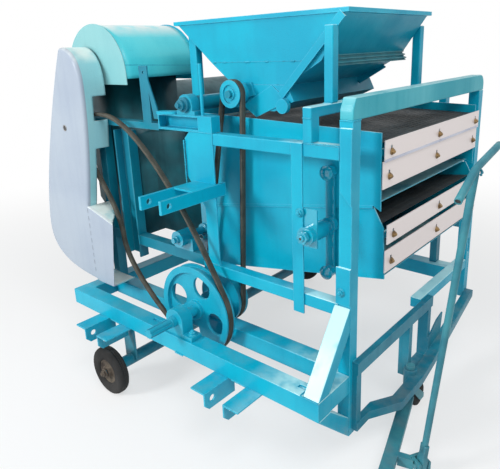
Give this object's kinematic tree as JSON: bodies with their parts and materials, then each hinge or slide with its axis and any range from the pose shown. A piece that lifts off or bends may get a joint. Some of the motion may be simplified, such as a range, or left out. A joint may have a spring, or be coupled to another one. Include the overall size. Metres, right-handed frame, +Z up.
{
  "type": "grain cleaning machine",
  "caption": "Tractor-driven grain cleaning machine: hopper, feed roller, belt-driven fan and two shaking sieve shoes in a tube frame with transport wheels and a tow pole.",
  "frame": {"origin": "on the ground, under the drive shaft axis, in the plane of the front beam face that carries the hitch lugs", "axes": "+X along the machine towards the discharge end, +Y from the hitch side to the rear side, +Z up"},
  "size_m": [1.8661, 1.43, 1.442],
  "materials": {
    "teal_paint": "gloss",
    "guard_grey": "satin",
    "belt_rubber": "matte",
    "wheel_rubber": "matte",
    "sieve_steel": "matte",
    "board_sheet": "satin",
    "brass": "matte"
  },
  "bodies": {
    "frame": {"front_beam": "teal_paint", "cross_beams": "teal_paint", "left_member": "teal_paint", "right_member": "teal_paint", "lower_hitch": "teal_paint", "top_link_bars": "teal_paint", "main_post": "teal_paint", "angle_post": "teal_paint", "left_posts": "teal_paint", "right_post": "teal_paint", "far_post": "teal_paint", "mid_rail": "teal_paint", "left_rails": "teal_paint", "upper_beam": "teal_paint", "front_brace": "teal_paint", "outer_hoop": "teal_paint", "hopper_bearers": "teal_paint", "rear_posts": "teal_paint", "rear_rails": "teal_paint", "top_channel": "teal_paint", "pto_bearings": "teal_paint", "shaft_bearings": "teal_paint", "rocker_bearings": "teal_paint", "hopper": "teal_paint", "hopper_posts": "teal_paint", "throat": "teal_paint", "hood": "teal_paint", "guard": "guard_grey", "fan_casing": "teal_paint", "belt_fan": "belt_rubber", "belt_feed": "belt_rubber", "axle_tube": "teal_paint", "tow_frame": "teal_paint", "frame_bolts": "teal_paint"},
    "drive_shaft": {"pto_shaft": "teal_paint", "big_pulley": "teal_paint", "drum_pulley": "teal_paint"},
    "fan": {"fan_rotor": "teal_paint", "fan_pulley": "teal_paint"},
    "feed": {"feed_roller": "teal_paint", "feed_pulley": "teal_paint"},
    "damper": {"damper_tube": "teal_paint"},
    "right_rockers": {"rocker_right": "teal_paint"},
    "left_rockers": {"rocker_left": "teal_paint"},
    "upper_shoe_body": {"upper_shoe": "teal_paint", "upper_sieve": "sieve_steel", "upper_bolts": "brass"},
    "lower_shoe_body": {"lower_shoe": "teal_paint", "lower_sieve": "sieve_steel", "lower_bolts": "brass"},
    "board_1_body": {"board_1": "board_sheet"},
    "board_2_body": {"board_2": "board_sheet"},
    "board_3_body": {"board_3": "board_sheet"},
    "board_4_body": {"board_4": "board_sheet"},
    "near_wheel": {"wheel_near": "wheel_rubber"},
    "far_wheel": {"wheel_far": "wheel_rubber"},
    "steering": {"caster_fork": "teal_paint", "tow_tongue": "teal_paint"},
    "caster": {"caster_wheel": "wheel_rubber"},
    "pole": {"pull_pole": "teal_paint"}
  },
  "joints": [
    {"name": "drive_shaft_spin", "type": "hinge", "parent": "frame", "child": "drive_shaft", "pos_m": [0, 0.1, 0.402], "axis": [0, 1, 0], "continuous": true},
    {"name": "fan_spin", "type": "hinge", "parent": "frame", "child": "fan", "pos_m": [-0.655, 0.6, 1.046], "axis": [0, 1, 0], "continuous": true},
    {"name": "feed_spin", "type": "hinge", "parent": "frame", "child": "feed", "pos_m": [0.1, 0.5, 1.184], "axis": [0, 1, 0], "continuous": true},
    {"name": "damper_turn", "type": "hinge", "parent": "frame", "child": "damper", "pos_m": [-0.041, 0.3, 1.152], "axis": [0, 1, 0], "range_deg": [-20, 20]},
    {"name": "upper_shoe_shake", "type": "slide", "parent": "frame", "child": "upper_shoe_body", "axis": [1, 0, 0], "range_m": [-0.012, 0.012]},
    {"name": "lower_shoe_shake", "type": "slide", "parent": "frame", "child": "lower_shoe_body", "axis": [1, 0, 0], "range_m": [-0.0115, 0.0115]},
    {"name": "right_rocker_swing", "type": "hinge", "parent": "frame", "child": "right_rockers", "pos_m": [0.48, 0.6925, 0.781], "axis": [0, 1, 0], "range_deg": [-4.1, 4.1]},
    {"name": "left_rocker_swing", "type": "hinge", "parent": "frame", "child": "left_rockers", "pos_m": [-0.105, 0.6925, 0.65], "axis": [0, 1, 0], "range_deg": [-6.2, 6.2]},
    {"name": "board_1_drop", "type": "slide", "parent": "upper_shoe_body", "child": "board_1_body", "axis": [0, 0, -1], "range_m": [0, 0.014]},
    {"name": "board_2_drop", "type": "slide", "parent": "upper_shoe_body", "child": "board_2_body", "axis": [0, 0, -1], "range_m": [0, 0.014]},
    {"name": "board_3_drop", "type": "slide", "parent": "lower_shoe_body", "child": "board_3_body", "axis": [0, 0, -1], "range_m": [0, 0.014]},
    {"name": "board_4_drop", "type": "slide", "parent": "lower_shoe_body", "child": "board_4_body", "axis": [0, 0, -1], "range_m": [0, 0.014]},
    {"name": "near_wheel_spin", "type": "hinge", "parent": "frame", "child": "near_wheel", "pos_m": [-0.342, -0.065, 0.1], "axis": [0, 1, 0], "continuous": true},
    {"name": "far_wheel_spin", "type": "hinge", "parent": "frame", "child": "far_wheel", "pos_m": [-0.342, 1.283, 0.1], "axis": [0, 1, 0], "continuous": true},
    {"name": "steering_turn", "type": "hinge", "parent": "frame", "child": "steering", "pos_m": [0.664, 0.545, 0.13], "axis": [0, 0, 1], "range_deg": [-20, 100]},
    {"name": "caster_spin", "type": "hinge", "parent": "steering", "child": "caster", "pos_m": [0.664, 0.605, 0.045], "axis": [1, 0, 0], "continuous": true},
    {"name": "pole_tilt", "type": "hinge", "parent": "steering", "child": "pole", "pos_m": [0.834, 0.27, 0.054], "axis": [0.5075, 0.8616, 0], "range_deg": [-12, 69]}
  ],
  "couplings": [
    {"joint": "fan_spin", "follows": "drive_shaft_spin", "ratio": 2.875},
    {"joint": "feed_spin", "follows": "drive_shaft_spin", "ratio": 2.181},
    {"joint": "lower_shoe_shake", "follows": "upper_shoe_shake", "ratio": -0.9249},
    {"joint": "right_rocker_swing", "follows": "upper_shoe_shake", "rad_per_m": 5.7803},
    {"joint": "left_rocker_swing", "follows": "upper_shoe_shake", "rad_per_m": 8.7719}
  ]
}
